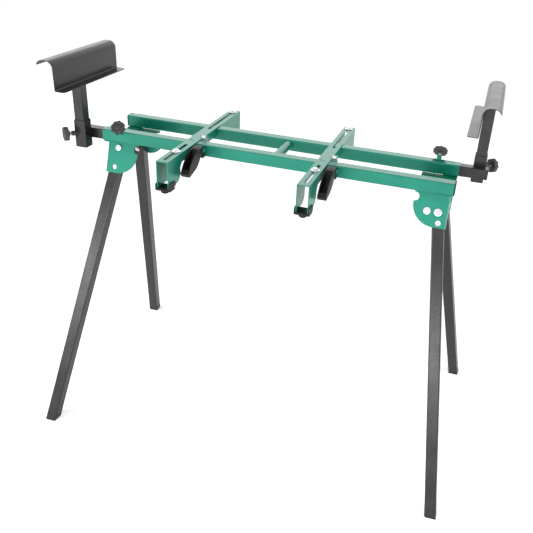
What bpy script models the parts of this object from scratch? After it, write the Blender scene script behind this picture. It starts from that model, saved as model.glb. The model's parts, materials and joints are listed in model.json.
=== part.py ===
"""Folding mitre saw stand.

Two parallel square rails carry two saw mounting brackets and, at opposite ends, two telescopic
arms with height-adjustable work supports. Four splayed legs hang in pressed channels below the
rails and fold up inside them, one leg of each pair above the other.

The stand is the same seen from the front and from the back, so one half is modelled on the front
rail and the other is the same half turned by 180 degrees about the vertical axis.

Origin: centre of the footprint, on the floor. X runs along the rails, -Y is the front, +Z is up.
"""

import math

import bmesh
import bpy
from mathutils import Matrix, Vector

for old in list(bpy.data.objects):
    bpy.data.objects.remove(old, do_unlink=True)

# Shared allowances
GAP = 0.0003            # between pieces that touch
OVERRUN = 0.004         # how far a cutter passes the piece it cuts
SHEET = 0.0025          # pressed steel sheet
SMOOTH_ANGLE = math.radians(35)

# Rails
RAIL_LENGTH = 0.994
RAIL_SIZE = 0.033
RAIL_WALL = 0.0015
RAIL_CORNER = 0.003     # outer corner radius
RAIL_PITCH = 0.149      # centre to centre
RAIL_TOP = 0.875        # height of the top face above the floor
DIMPLE_LENGTH = 0.024
DIMPLE_HEIGHT = 0.014
DIMPLE_DEPTH = 0.0007
DIMPLE_SETBACK = 0.026  # from the rail's open end to the dimple's centre
CAP_FLANGE = 0.003
CAP_STEM = 0.016
CROSS_TUBE_RADIUS = 0.0125
CROSS_TUBE_WALL = 0.0015
CROSS_TUBE_X = 0.010
CROSS_TUBE_DROP = 0.003     # from the rail top to the tube's top
CROSS_PLATE_WIDTH = 0.0395
CROSS_PLATE_SETBACK = 0.0015

# Legs and their channels
LEG_SIZE = 0.032
LEG_WALL = 0.0015
LEG_CORNER = 0.003
LEG_INSET = 0.0281      # leg plane to rail centre line, at the rail's underside
FOOT_X = 0.596          # floor contact of the leg's centre line
FOOT_Y = 0.348
FOOT_HEIGHT = 0.018
FOOT_STEM = 0.025
LEG_PLAY = 0.0006       # leg to the channel's plate and to its bolt's nut
STOP_PLAY = 0.0008      # leg to channel back
FOLD_PLAY = 0.0015      # folded leg to the flange above it
STACK_PLAY = 0.0006     # folded leg to folded leg
CHANNEL_SETBACK = 0.0045
CHANNEL_LENGTH = 0.094
CHANNEL_DROP = 0.103
CHANNEL_BEND = 0.005    # outside radius between the outer plate and the end web
CHANNEL_RISE = 0.020
NOTCH_RADIUS = 0.0115
HIGH_LEG_OFFSET = 0.0036
LEG_BOLT_RADIUS = 0.004
LEG_BOLT_HEAD = 0.009
LEG_BOLT_HEAD_HEIGHT = 0.0035
NUT_RADIUS = 0.0075
NUT_HEIGHT = 0.006
LOCK_REACH_HIGH = 0.0575    # pivot to lock button, leg that folds up first
LOCK_REACH_LOW = 0.0290     # the other leg
BUTTON_RADIUS = 0.0075
BUTTON_LENGTH = 0.005
SPRING_WIDTH = 0.010
SPRING_THICKNESS = 0.001
SPRING_LENGTH = 0.030
SPRING_SPREAD = 0.020
BUSH_HEAD = 0.0095
BUSH_RADIUS = 0.0085
BUSH_WALL = 0.001
BUSH_RIM = 0.0015

# Telescopic arms and work supports
BAR_PLAY = 0.0005
BAR_WALL = 0.002
BAR_CORNER = 0.002
BAR_END_CLEAR = 0.170   # from the bar's inner end to the rail's capped end
BAR_TAIL = 0.009        # the bar's outer end past the socket
POST_REACH = 0.0515     # from the rail end to the post's centre
SOCKET_SIZE = 0.034
SOCKET_WALL = 0.002
SOCKET_CORNER = 0.0025
SOCKET_HEIGHT = 0.0765
SOCKET_RISE = 0.025     # above the rail top
POST_PLAY = 0.0005
POST_WALL = 0.0015
POST_BELOW = 0.170      # from the support's flange to the post's lower end
SUPPORT_SHEET = 0.002
SUPPORT_LENGTH = 0.312
SUPPORT_OFFSET = 0.022  # plate centre to post centre, towards the stand's middle
SUPPORT_FLANGE = 0.028
LEFT_SUPPORT_LIFT = 1.010   # height of the flange
RIGHT_SUPPORT_LIFT = 0.996
SUPPORT_BEND = 0.003
SUPPORT_WALL_HEIGHT = 0.057
ARCH_RADIUS = 0.018
ARCH_FLAT = 0.010
ARCH_LIP_ANGLE = math.radians(70)
ARCH_ROOM = 0.008       # post top to the start of the arch
PLATE_CORNER = 0.008

# Clamping knobs, each on a corner of its rail or socket, at 45 degrees
KNOB_RADIUS = 0.0200
KNOB_LOBES = 8
KNOB_LOBE_DEPTH = 0.0022
KNOB_HEIGHT = 0.0135
KNOB_HUB_RADIUS = 0.0085
KNOB_HUB_HEIGHT = 0.0035
KNOB_EDGE = 0.0022
KNOB_DISH = 0.0015
KNOB_BORE_DEPTH = 0.011
STUD_RADIUS = 0.004
BOSS_RADIUS = 0.0070
BOSS_LENGTH = 0.009     # from the tube's corner to the boss's end
BOSS_SEAT = 0.008       # how far the boss reaches down beside the corner
STEM_LENGTH = 0.0045    # stud that shows between the boss and the knob
SOCKET_KNOB_DROP = 0.038    # below the socket's top
LOCK_SETBACK = 0.0605   # rail end to rail knob

# Saw mounting brackets
BRACKET_X = (-0.2275, 0.1470)
BRACKET_WIDTH = 0.033
BRACKET_FRONT = 0.265
BRACKET_REAR = 0.252
BRACKET_SEAT = 0.0003   # top plate above the rails
BRACKET_DEPTH = 0.0248  # top face to the lower edge between the ends
BRACKET_END_DROP = 0.0733
BRACKET_END_WIDTH = 0.073
BRACKET_END_CORNER = 0.022
BRACKET_END_FILLET = 0.018
RAIL_PLAY = 0.0008      # rail to the sides of its cut-out
SLOT_WIDTH = 0.009
FRONT_SLOT_NEAR = 0.1125
FRONT_SLOT_FAR = 0.250
REAR_SLOT_NEAR = 0.038
REAR_SLOT_FAR = 0.240
PLATE_HOLE = 0.005
PLATE_HOLE_Y = -0.073
PLATE_HOLE_OFFSET = -0.006
PLATE_HOLE_SPACING = 0.0075
PAD_OVERHANG = 0.0033
PAD_LENGTH = 0.040
PAD_FRONT = 0.003
PAD_BOTTOM = 0.0085     # below the flanges
PAD_TOP = 0.0133        # above the flanges' lower edge
PAD_CORNER = 0.006
BUMPER_RADIUS = 0.011
BUMPER_HEIGHT = 0.0075
BUMPER_EDGE = 0.003
BUMPER_SETBACK = 0.016

# Clamp lever and strap
LEVER_LENGTH = 0.0975
LEVER_WIDTH = 0.024
LEVER_STANDOFF = 0.004
LEVER_WALL = 0.0028
LEVER_HUB_RADIUS = 0.0108
LEVER_PIVOT_OUT = 0.0135    # pivot to the rail's front face
LEVER_PIVOT_DROP = 0.010    # pivot to the rail top
LEVER_TAIL = 0.0225
LEVER_TAIL_WIDTH = 0.012
LEVER_BOLT_RADIUS = 0.003
LEVER_BOLT_HEAD = 0.006
STRAP_WIDTH = 0.018
STRAP_SHEET = 0.0016
STRAP_PLAY = 0.0005
STRAP_FRONT_DROP = 0.004
STRAP_EAR = 0.015
STRAP_BOLT_RISE = 0.0080
STRAP_BOLT_RADIUS = 0.003
STRAP_BOLT_HEAD = 0.0058
STRAP_BOLT_HEAD_HEIGHT = 0.003

# Saw bolts
SAW_BOLT_Y = ((-0.180, 0.228), (-0.155, 0.230))
SAW_BOLT_RADIUS = 0.004
SAW_BOLT_HEAD = 0.0085
SAW_BOLT_HEAD_HEIGHT = 0.0045
SAW_WASHER_RADIUS = 0.0120
UNDER_WASHER_RADIUS = 0.0085
WASHER_THICKNESS = 0.0016
SAW_BOLT_LENGTH = 0.018
SAW_NUT_RADIUS = 0.0075
SAW_NUT_HEIGHT = 0.0065

# Outlines as shares of the lever length: (forward, up) from the pivot
LEVER_TOP_SHARES = ((0.00, 0.111), (0.16, 0.112), (0.32, 0.088), (0.48, 0.040),
                    (0.64, -0.045), (0.80, -0.165), (0.93, -0.310), (1.00, -0.395))
LEVER_LOW_SHARES = ((0.93, -0.495), (0.80, -0.460), (0.60, -0.415), (0.42, -0.355),
                    (0.29, -0.255), (0.19, -0.155), (0.11, -0.100))
LEVER_CAVITY_SHARE = 0.26
CHAMFER_SHARE = 0.90
LOBE_POINTS = 4
ROUND = 18
FINE_ROUND = 12
CORNER_STEPS = 2

# Worked out from the sizes above
HALF_RAIL = RAIL_SIZE / 2
RAIL_Y = RAIL_PITCH / 2
RAIL_Z = RAIL_TOP - HALF_RAIL
RAIL_BOTTOM = RAIL_TOP - RAIL_SIZE
RAIL_INNER = RAIL_SIZE - 2 * RAIL_WALL
RAIL_END = RAIL_LENGTH / 2
BAR_SIZE = RAIL_INNER - 2 * BAR_PLAY
POST_SIZE = SOCKET_SIZE - 2 * SOCKET_WALL - 2 * POST_PLAY
POST_X = RAIL_END + POST_REACH
POST_Y = RAIL_Y + BAR_SIZE / 2 + GAP + SOCKET_SIZE / 2
SOCKET_TOP = RAIL_TOP + SOCKET_RISE
SOCKET_MID = SOCKET_TOP - SOCKET_HEIGHT / 2
BAR_OUTER = POST_X + SOCKET_SIZE / 2 + BAR_TAIL
BAR_INNER = RAIL_END - BAR_END_CLEAR
LEG_PLANE_Y = RAIL_Y - LEG_INSET
TILT = math.atan((FOOT_Y - LEG_PLANE_Y) / RAIL_BOTTOM)
GROUND_DROP = RAIL_BOTTOM / math.cos(TILT)
LEG_HALF = LEG_SIZE / 2
CHANNEL_HALF = LEG_HALF + LEG_PLAY + SHEET
CHANNEL_OUTER = RAIL_END - CHANNEL_SETBACK
PLATE_BOTTOM = RAIL_BOTTOM - GAP - SHEET
CHANNEL_TOP = PLATE_BOTTOM - GAP
FLANGE_DROP = RAIL_BOTTOM - CHANNEL_TOP + SHEET
HIGH_TOP = (FLANGE_DROP + LEG_HALF * math.sin(TILT) + FOLD_PLAY) / math.cos(TILT)
HIGH_DROP = HIGH_TOP + LEG_HALF
LOW_DROP = HIGH_DROP + LEG_SIZE + STACK_PLAY
CHANNEL_CORNER = CHANNEL_DROP - HIGH_DROP - NOTCH_RADIUS - SHEET
SUPPORT_LIFTS = {"left": LEFT_SUPPORT_LIFT, "right": RIGHT_SUPPORT_LIFT}
TOP_FACE = RAIL_TOP + BRACKET_SEAT + SHEET
LEVER_Y = -(RAIL_Y + HALF_RAIL + LEVER_PIVOT_OUT)
LEVER_Z = RAIL_TOP - LEVER_PIVOT_DROP


def material(name, colour, roughness, metallic):
    """Principled surface with one colour."""
    made = bpy.data.materials.new(name)
    made.use_nodes = True
    shader = made.node_tree.nodes["Principled BSDF"]
    shader.inputs["Base Color"].default_value = (*colour, 1.0)
    shader.inputs["Roughness"].default_value = roughness
    shader.inputs["Metallic"].default_value = metallic
    made.diffuse_color = (*colour, 1.0)
    return made


GREEN = ((0.030, 0.330, 0.230), 0.30, 0.55)
BLACK = ((0.030, 0.030, 0.032), 0.38, 0.10)
PLASTIC = ((0.020, 0.020, 0.021), 0.55, 0.0)
RUBBER = ((0.024, 0.024, 0.025), 0.70, 0.0)
ZINC = ((0.720, 0.730, 0.750), 0.30, 1.0)


def empty(name, parent=None, location=(0, 0, 0), rotation=(0, 0, 0)):
    """A placing point; not part of the product."""
    made = bpy.data.objects.new(name, None)
    bpy.context.scene.collection.objects.link(made)
    made.parent = parent
    made.location = location
    made.rotation_euler = rotation
    made.empty_display_size = LEG_SIZE
    return made


def finish(name, mesh_data, parent, surface=None, location=(0, 0, 0), rotation=(0, 0, 0)):
    """Turns a bmesh into a named object under its placing point."""
    bmesh.ops.recalc_face_normals(mesh_data, faces=mesh_data.faces[:])
    mesh = bpy.data.meshes.new(name)
    mesh_data.to_mesh(mesh)
    mesh_data.free()
    mesh.shade_smooth()
    mesh.set_sharp_from_angle(angle=SMOOTH_ANGLE)
    made = bpy.data.objects.new(name, mesh)
    bpy.context.scene.collection.objects.link(made)
    made.parent = parent
    made.location = location
    made.rotation_euler = rotation
    if surface:
        mesh.materials.append(material(name + "_surface", *surface))
    return made


def combine(target, name, mesh_data, operation="DIFFERENCE", parent=None):
    """Cuts a piece with, joins it to or trims it to another shape."""
    tool = finish(name, mesh_data, parent or target.parent)
    if parent is None:
        tool.location = target.location
        tool.rotation_euler = target.rotation_euler
    tool.hide_render = True
    tool.display_type = "WIRE"
    step = target.modifiers.new(name, "BOOLEAN")
    step.operation = operation
    step.object = tool
    step.solver = "EXACT"


def frame(axis, centre=(0, 0, 0)):
    """Places an outline's own u, v, w on the part's axes: w runs along the named axis."""
    rows = {"x": ((0, 0, 1), (1, 0, 0), (0, 1, 0)),
            "y": ((1, 0, 0), (0, 0, -1), (0, 1, 0)),
            "z": ((1, 0, 0), (0, 1, 0), (0, 0, 1))}[axis]
    return Matrix.Translation(centre) @ Matrix(rows).to_4x4()


def round_rect(width, height, radius, steps=CORNER_STEPS):
    """Rectangle about its centre with rounded corners."""
    points = []
    corners = ((1, 1, 0), (-1, 1, 90), (-1, -1, 180), (1, -1, 270))
    for side, rise, start in corners:
        centre_u = side * (width / 2 - radius)
        centre_v = rise * (height / 2 - radius)
        for step in range(steps + 1):
            turn = math.radians(start + 90 * step / steps)
            points.append((centre_u + radius * math.cos(turn), centre_v + radius * math.sin(turn)))
    return points


def rectangle(width, height):
    """Plain rectangle about its centre."""
    return [(width / 2, height / 2), (-width / 2, height / 2),
            (-width / 2, -height / 2), (width / 2, -height / 2)]


def circle(radius, count=ROUND):
    """Regular outline of a round piece."""
    return [(radius * math.cos(2 * math.pi * i / count), radius * math.sin(2 * math.pi * i / count))
            for i in range(count)]


def arc(centre, radius, start, end, steps):
    """Points on an arc, ends included, angles in degrees."""
    points = []
    for step in range(steps + 1):
        turn = math.radians(start + (end - start) * step / steps)
        points.append((centre[0] + radius * math.cos(turn), centre[1] + radius * math.sin(turn)))
    return points


def flow(points, steps=3):
    """Smooth curve through a few points."""
    padded = [points[0]] + list(points) + [points[-1]]
    curve = []
    for a, b, c, d in zip(padded, padded[1:], padded[2:], padded[3:]):
        for step in range(steps):
            t = step / steps
            curve.append(tuple(0.5 * (2 * q + (r - p) * t + (2 * p - 5 * q + 4 * r - s) * t * t
                                      + (3 * q - p - 3 * r + s) * t ** 3)
                               for p, q, r, s in zip(a, b, c, d)))
    curve.append(tuple(points[-1]))
    return curve


def add_prism(mesh_data, outline, depth, axis, centre=(0, 0, 0)):
    """Outline extruded along an axis, half to each side of its centre."""
    place = frame(axis, centre)
    rings = []
    for end in (-depth / 2, depth / 2):
        rings.append([mesh_data.verts.new(place @ Vector((u, v, end))) for u, v in outline])
    mesh_data.faces.new(rings[0])
    mesh_data.faces.new(rings[1])
    count = len(outline)
    for i in range(count):
        j = (i + 1) % count
        mesh_data.faces.new((rings[0][i], rings[0][j], rings[1][j], rings[1][i]))


def add_tube(mesh_data, outer, inner, depth, axis, centre=(0, 0, 0)):
    """Hollow section with open ends; both outlines have as many points."""
    place = frame(axis, centre)
    loops = []
    for outline in (outer, inner):
        for end in (-depth / 2, depth / 2):
            loops.append([mesh_data.verts.new(place @ Vector((u, v, end))) for u, v in outline])
    outer_low, outer_high, inner_low, inner_high = loops
    count = len(outer)
    for i in range(count):
        j = (i + 1) % count
        mesh_data.faces.new((outer_low[i], outer_low[j], outer_high[j], outer_high[i]))
        mesh_data.faces.new((inner_low[j], inner_low[i], inner_high[i], inner_high[j]))
        mesh_data.faces.new((outer_low[j], outer_low[i], inner_low[i], inner_low[j]))
        mesh_data.faces.new((outer_high[i], outer_high[j], inner_high[j], inner_high[i]))


def add_turned(mesh_data, profile, axis="z", centre=(0, 0, 0), count=ROUND, shape=None):
    """Rings of (radius, height) from one end to the other, closed at both ends."""
    place = frame(axis, centre)
    loops = []
    for radius, height in profile:
        outline = shape(radius) if shape else circle(radius, count)
        loops.append([mesh_data.verts.new(place @ Vector((u, v, height))) for u, v in outline])
    mesh_data.faces.new(loops[0])
    mesh_data.faces.new(loops[-1])
    total = len(loops[0])
    for low, high in zip(loops, loops[1:]):
        for i in range(total):
            j = (i + 1) % total
            mesh_data.faces.new((low[i], low[j], high[j], high[i]))


def add_box(mesh_data, low, high):
    """Box between two corners."""
    size = [b - a for a, b in zip(low, high)]
    centre = [(a + b) / 2 for a, b in zip(low, high)]
    add_prism(mesh_data, rectangle(size[0], size[1]), size[2], "z", centre)


def square_tube(size, wall, corner, length, axis, centre=(0, 0, 0)):
    """Bmesh of a square hollow section."""
    mesh_data = bmesh.new()
    inside = size - 2 * wall
    add_tube(mesh_data, round_rect(size, size, corner),
             round_rect(inside, inside, max(corner - wall, GAP)), length, axis, centre)
    return mesh_data


def bolt(mesh_data, radius, length, head_radius, head_height, axis, centre, direction):
    """Bolt with a low domed head; its head bears on the centre, its shank runs the other way."""
    profile = [(radius, -direction * length), (radius, 0), (head_radius, 0),
               (head_radius, direction * head_height * 0.45),
               (head_radius * CHAMFER_SHARE, direction * head_height * 0.8),
               (head_radius * CHAMFER_SHARE / 2, direction * head_height)]
    add_turned(mesh_data, profile, axis, centre, FINE_ROUND)


# Placing points: each half of the stand stands on the front rail of its own frame
HALVES = {"front": empty("half_front"), "rear": empty("half_rear", rotation=(0, 0, math.pi))}


def make_rail(half):
    """Square rail, open at the arm's end and capped at the other."""
    root = HALVES[half]
    body = square_tube(RAIL_SIZE, RAIL_WALL, RAIL_CORNER, RAIL_LENGTH, "x", (0, -RAIL_Y, RAIL_Z))
    rail = finish("rail_" + half, body, root, GREEN)
    dimples = bmesh.new()
    at_x = -(RAIL_END - DIMPLE_SETBACK)
    outline = round_rect(DIMPLE_LENGTH, DIMPLE_HEIGHT, DIMPLE_HEIGHT / 4)
    reach = DIMPLE_DEPTH + OVERRUN
    add_prism(dimples, outline, reach, "y",
              (at_x, -RAIL_Y - HALF_RAIL + DIMPLE_DEPTH - reach / 2, RAIL_Z))
    add_prism(dimples, outline, reach, "z",
              (at_x, -RAIL_Y, RAIL_TOP - DIMPLE_DEPTH + reach / 2))
    combine(rail, "rail_dimples_" + half, dimples)
    combine(rail, "rail_bore_" + half, stud_bore(), parent=rail_knob_frames[half])


def stud_bore():
    """Cutter for a clamping knob's stud, through a tube's corner and the boss on it."""
    bore = bmesh.new()
    add_turned(bore, [(STUD_RADIUS + GAP, -BOSS_SEAT), (STUD_RADIUS + GAP, BOSS_LENGTH + OVERRUN)],
               count=FINE_ROUND)
    return bore


def make_boss(half):
    """Threaded boss that sits astride the rail's corner."""
    body = bmesh.new()
    add_turned(body, [(BOSS_RADIUS, -BOSS_SEAT), (BOSS_RADIUS, BOSS_LENGTH)])
    boss = finish("rail_boss_" + half, body, rail_knob_frames[half], GREEN)
    seat = bmesh.new()
    across = RAIL_SIZE + 2 * GAP
    add_prism(seat, round_rect(across, across, RAIL_CORNER + GAP), 4 * BOSS_RADIUS, "x",
              (-(RAIL_END - LOCK_SETBACK), -RAIL_Y, RAIL_Z))
    combine(boss, "boss_seat_" + half, seat, parent=HALVES[half])
    combine(boss, "boss_bore_" + half, stud_bore())


def make_cap(half):
    """Plastic plug that closes the rail's end away from the arm."""
    face = RAIL_END + GAP
    flange = bmesh.new()
    add_prism(flange, round_rect(RAIL_SIZE, RAIL_SIZE, RAIL_CORNER), CAP_FLANGE, "x",
              (face + CAP_FLANGE / 2, -RAIL_Y, RAIL_Z))
    cap = finish("rail_cap_" + half, flange, HALVES[half], PLASTIC)
    stem = bmesh.new()
    stem_size = RAIL_INNER - 2 * GAP
    add_prism(stem, round_rect(stem_size, stem_size, RAIL_CORNER / 2), CAP_STEM + CAP_FLANGE / 2, "x",
              (face - CAP_STEM / 2 + CAP_FLANGE / 4, -RAIL_Y, RAIL_Z))
    combine(cap, "cap_stem_" + half, stem, "UNION")


def make_cross_members():
    """Round tube between the rails and the flat plate under each pair of rail ends."""
    length = RAIL_PITCH - RAIL_SIZE - 2 * GAP
    tube = bmesh.new()
    add_tube(tube, circle(CROSS_TUBE_RADIUS), circle(CROSS_TUBE_RADIUS - CROSS_TUBE_WALL), length,
             "y", (CROSS_TUBE_X, 0, RAIL_TOP - CROSS_TUBE_DROP - CROSS_TUBE_RADIUS))
    finish("cross_tube", tube, None, GREEN)
    middle = RAIL_END - CROSS_PLATE_SETBACK - CROSS_PLATE_WIDTH / 2
    outline = round_rect(CROSS_PLATE_WIDTH, RAIL_PITCH + RAIL_SIZE - RAIL_CORNER, RAIL_CORNER)
    for tag, side in (("left", -1), ("right", 1)):
        plate = bmesh.new()
        add_prism(plate, outline, SHEET, "z", (side * middle, 0, PLATE_BOTTOM + SHEET / 2))
        finish("cross_plate_" + tag, plate, None, GREEN)


def leg_layout(side, high):
    """Pivot place and splay of one leg in its tilted plane."""
    centre_low = CHANNEL_OUTER - SHEET - STOP_PLAY - LEG_HALF
    if high:
        centre_low -= HIGH_LEG_OFFSET
    splay = math.atan((FOOT_X - centre_low) / (GROUND_DROP - CHANNEL_DROP))
    drop = HIGH_DROP if high else LOW_DROP
    pivot_x = centre_low - (CHANNEL_DROP - drop) * math.tan(splay)
    return side * pivot_x, drop, side * -splay, (GROUND_DROP - drop) / math.cos(splay)


def channel_section(side):
    """Section of a leg channel: the outer plate and the end web, with a round bend between them."""
    far = CHANNEL_OUTER - CHANNEL_LENGTH - OVERRUN
    bend = (CHANNEL_OUTER - CHANNEL_BEND, CHANNEL_BEND - CHANNEL_HALF)
    points = [(far, -CHANNEL_HALF)] + arc(bend, CHANNEL_BEND, 270, 360, 4)
    points += [(CHANNEL_OUTER, LEG_HALF), (CHANNEL_OUTER - SHEET, LEG_HALF)]
    points += arc(bend, CHANNEL_BEND - SHEET, 360, 270, 4) + [(far, SHEET - CHANNEL_HALF)]
    return [(side * x, y) for x, y in points]


def notch_points(inner, side):
    """Notch for the folded leg's button: a circle that meets the inner edge, or a slot with a
    round end in a longer plate. A plate that ends short of the button has none."""
    notch_in = CHANNEL_OUTER - abs(leg_layout(side, True)[0]) + LOCK_REACH_HIGH
    beyond = inner - notch_in
    centre = (notch_in, HIGH_DROP)
    if beyond >= NOTCH_RADIUS:
        return ([(inner, HIGH_DROP + NOTCH_RADIUS)] + arc(centre, NOTCH_RADIUS, 90, 270, 12)
                + [(inner, HIGH_DROP - NOTCH_RADIUS)])
    if beyond <= -NOTCH_RADIUS:
        return []
    opening = math.degrees(math.atan2(math.sqrt(NOTCH_RADIUS ** 2 - beyond ** 2), beyond))
    return arc(centre, NOTCH_RADIUS, opening, 360 - opening, 12)


def channel_outline(side):
    """Side of a leg channel: square outside, a large round corner inside, a notch above."""
    inner = CHANNEL_LENGTH
    points = [(-OVERRUN, -CHANNEL_RISE), (-OVERRUN, CHANNEL_DROP)]
    points += arc((inner - CHANNEL_CORNER, CHANNEL_DROP - CHANNEL_CORNER), CHANNEL_CORNER, 90, 0, 10)
    points += notch_points(inner, side)
    points.append((inner, -CHANNEL_RISE))
    return [(side * (CHANNEL_OUTER - u), -v) for u, v in points]


def make_leg(tag, half, side, high):
    """Leg, foot, lock button and the pressed channel that carries them."""
    root = HALVES[half]
    plane = empty("leg_plane_" + tag, root, (0, -LEG_PLANE_Y, RAIL_BOTTOM), (-TILT, 0, 0))
    pivot_x, drop, splay, length = leg_layout(side, high)
    reach = LOCK_REACH_HIGH if high else LOCK_REACH_LOW

    channel = bmesh.new()
    add_prism(channel, channel_section(side), CHANNEL_DROP + CHANNEL_RISE + 2 * OVERRUN, "z",
              (0, 0, (CHANNEL_RISE - CHANNEL_DROP) / 2))
    channel = finish("leg_channel_" + tag, channel, plane, GREEN)
    flange = bmesh.new()
    inset = CHANNEL_BEND * (1 - math.sqrt(0.5)) + GAP
    edges = (inset - CHANNEL_HALF, LEG_HALF + LEG_PLAY)
    outline = [(y, (y * math.sin(TILT) - drop_to) / math.cos(TILT))
               for y, drop_to in ((edges[0], FLANGE_DROP), (edges[1], FLANGE_DROP),
                                  (edges[1], 0), (edges[0], 0))]
    add_prism(flange, outline, CHANNEL_LENGTH + OVERRUN - inset, "x",
              (side * (CHANNEL_OUTER - (CHANNEL_LENGTH + OVERRUN + inset) / 2), 0, 0))
    combine(channel, "channel_flange_" + tag, flange, "UNION")
    side_shape = bmesh.new()
    add_prism(side_shape, channel_outline(side), 2 * CHANNEL_HALF + 2 * OVERRUN, "y")
    combine(channel, "channel_side_" + tag, side_shape, "INTERSECT")
    level = bmesh.new()
    wide = CHANNEL_OUTER + OVERRUN
    top_x = sorted((side * wide, side * (wide - CHANNEL_LENGTH - 3 * OVERRUN)))
    add_box(level, (top_x[0], -RAIL_PITCH, CHANNEL_TOP), (top_x[1], RAIL_Y, RAIL_TOP))
    combine(channel, "channel_level_" + tag, level, parent=root)
    holes = bmesh.new()
    front_hole = SHEET + 2 * OVERRUN
    front_y = SHEET / 2 - CHANNEL_HALF
    add_prism(holes, circle(LEG_BOLT_RADIUS + GAP, FINE_ROUND), front_hole, "y",
              (pivot_x, front_y, -drop))
    lock_x = pivot_x + side * reach * math.sin(abs(splay))
    lock_drop = drop + reach * math.cos(splay)
    add_prism(holes, circle(BUTTON_RADIUS + GAP), front_hole, "y", (lock_x, front_y, -lock_drop))
    if not high:
        add_prism(holes, circle(BUSH_RADIUS - BUSH_WALL), front_hole, "y",
                  (pivot_x - side * reach, front_y, -drop))
    combine(channel, "channel_holes_" + tag, holes)
    if not high:
        cup = bmesh.new()
        outside = CHANNEL_HALF + BUSH_RIM
        add_tube(cup, circle(BUSH_HEAD), circle(BUSH_RADIUS - BUSH_WALL), BUSH_RIM + SHEET / 2, "y",
                 (pivot_x - side * reach, -outside + (BUSH_RIM + SHEET / 2) / 2, -drop))
        combine(channel, "channel_cup_" + tag, cup, "UNION")
    make_leg_bolt(tag, plane, pivot_x, drop)

    leg_frame = empty("leg_pivot_" + tag, plane, (pivot_x, 0, -drop), (0, splay, 0))
    top = LEG_HALF
    bottom = -(length - FOOT_HEIGHT)
    tube = square_tube(LEG_SIZE, LEG_WALL, LEG_CORNER, top - bottom, "z", (0, 0, (top + bottom) / 2))
    leg = finish("leg_" + tag, tube, leg_frame, BLACK)
    trim = bmesh.new()
    outline = arc((0, 0), LEG_HALF, 0, 180, 12)
    outline += [(-LEG_HALF - GAP, 0), (-LEG_HALF - GAP, bottom - OVERRUN),
                (LEG_HALF + GAP, bottom - OVERRUN), (LEG_HALF + GAP, 0)]
    add_prism(trim, outline, LEG_SIZE + OVERRUN, "y")
    combine(leg, "leg_trim_" + tag, trim, "INTERSECT")
    drill = bmesh.new()
    add_prism(drill, circle(LEG_BOLT_RADIUS + GAP, FINE_ROUND), LEG_SIZE + OVERRUN, "y")
    add_prism(drill, circle(BUTTON_RADIUS + GAP), LEG_WALL + OVERRUN, "y",
              (0, -LEG_HALF + LEG_WALL / 2, -reach))
    combine(leg, "leg_drill_" + tag, drill)

    inside_size = LEG_SIZE - 2 * LEG_WALL - 2 * GAP
    foot = bmesh.new()
    deep = FOOT_HEIGHT + LEG_SIZE
    add_prism(foot, round_rect(LEG_SIZE, LEG_SIZE, LEG_CORNER), deep, "z",
              (0, 0, bottom - GAP - deep / 2))
    foot = finish("foot_" + tag, foot, leg_frame, RUBBER)
    stem = bmesh.new()
    high_end = bottom + FOOT_STEM
    low_end = bottom - FOOT_HEIGHT / 2
    add_prism(stem, round_rect(inside_size, inside_size, LEG_CORNER - LEG_WALL), high_end - low_end,
              "z", (0, 0, (high_end + low_end) / 2))
    combine(foot, "foot_stem_" + tag, stem, "UNION")
    floor = bmesh.new()
    add_box(floor, (-FOOT_X - LEG_SIZE, -FOOT_Y - LEG_SIZE, -FOOT_HEIGHT - LEG_SIZE),
            (FOOT_X + LEG_SIZE, 0, 0))
    combine(foot, "foot_floor_" + tag, floor, parent=root)

    button_frame = empty("button_frame_" + tag, leg_frame, (0, 0, -reach))
    button = bmesh.new()
    face_y = -LEG_HALF
    add_prism(button, circle(BUTTON_RADIUS), BUTTON_LENGTH, "y", (0, face_y + BUTTON_LENGTH / 2, 0))
    button = finish("lock_button_" + tag, button, button_frame, ZINC)
    leaf = bmesh.new()
    back_y = face_y + BUTTON_LENGTH - SPRING_THICKNESS / 2
    half_spread = SPRING_SPREAD / 2
    turn_z = -SPRING_LENGTH + half_spread
    outer = [(back_y, BUTTON_RADIUS)]
    outer += arc((back_y + half_spread, turn_z), half_spread, 180, 360, 8)
    outer += [(back_y + SPRING_SPREAD, -BUTTON_RADIUS)]
    inner = [(back_y + SPRING_SPREAD - SPRING_THICKNESS, -BUTTON_RADIUS)]
    inner += arc((back_y + half_spread, turn_z), half_spread - SPRING_THICKNESS, 360, 180, 8)
    inner += [(back_y + SPRING_THICKNESS, BUTTON_RADIUS)]
    add_prism(leaf, outer + inner, SPRING_WIDTH, "x")
    combine(button, "button_leaf_" + tag, leaf, "UNION")


def make_leg_bolt(tag, plane, pivot_x, drop):
    """Bolt that a leg turns on, with its head on the channel and its nut on the leg."""
    body = bmesh.new()
    nut_face = LEG_HALF + LEG_PLAY
    shank = CHANNEL_HALF + GAP + nut_face + NUT_HEIGHT + LEG_BOLT_HEAD_HEIGHT / 2
    bolt(body, LEG_BOLT_RADIUS, shank, LEG_BOLT_HEAD, LEG_BOLT_HEAD_HEIGHT, "y",
         (0, -CHANNEL_HALF - GAP, 0), 1)
    made = finish("leg_bolt_" + tag, body, plane, ZINC, location=(pivot_x, 0, -drop))
    ring = bmesh.new()
    add_prism(ring, circle(NUT_RADIUS, 6), NUT_HEIGHT, "y",
              (0, nut_face + NUT_HEIGHT / 2, 0))
    combine(made, "leg_nut_" + tag, ring, "UNION")


def lobed(radius):
    """Outline of a clamping knob: rounded lobes around a circle."""
    count = KNOB_LOBES * LOBE_POINTS
    points = []
    for i in range(count):
        turn = 2 * math.pi * i / count
        dip = KNOB_LOBE_DEPTH * (0.5 - 0.5 * math.cos(KNOB_LOBES * turn)) ** 1.5
        points.append(((radius - dip) * math.cos(turn), (radius - dip) * math.sin(turn)))
    return points


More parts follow.
